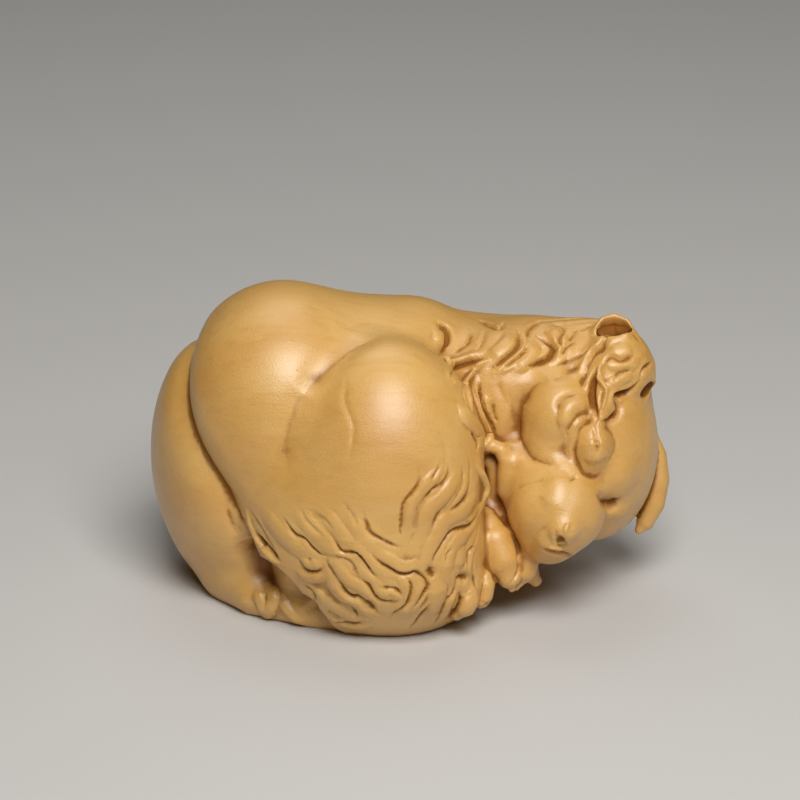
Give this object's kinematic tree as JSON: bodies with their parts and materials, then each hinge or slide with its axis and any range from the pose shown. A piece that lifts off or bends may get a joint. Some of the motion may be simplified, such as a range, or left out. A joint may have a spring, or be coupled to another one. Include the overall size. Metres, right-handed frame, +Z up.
{
  "type": "sleeping dog carving",
  "caption": "Small boxwood carving of a long-haired dog curled up asleep, its head tucked against its thigh, carved in the round with a flat underside.",
  "frame": {"origin": "on the table, below the middle of the figure's bounding box", "axes": "+X from the rump to the head, +Y away from the side that the nose faces, +Z up"},
  "size_m": [0.0684, 0.0438, 0.041],
  "materials": {
    "boxwood": "waxed satin"
  },
  "bodies": {
    "root": {"boxwood_dog_carving": "boxwood"}
  },
  "joints": []
}
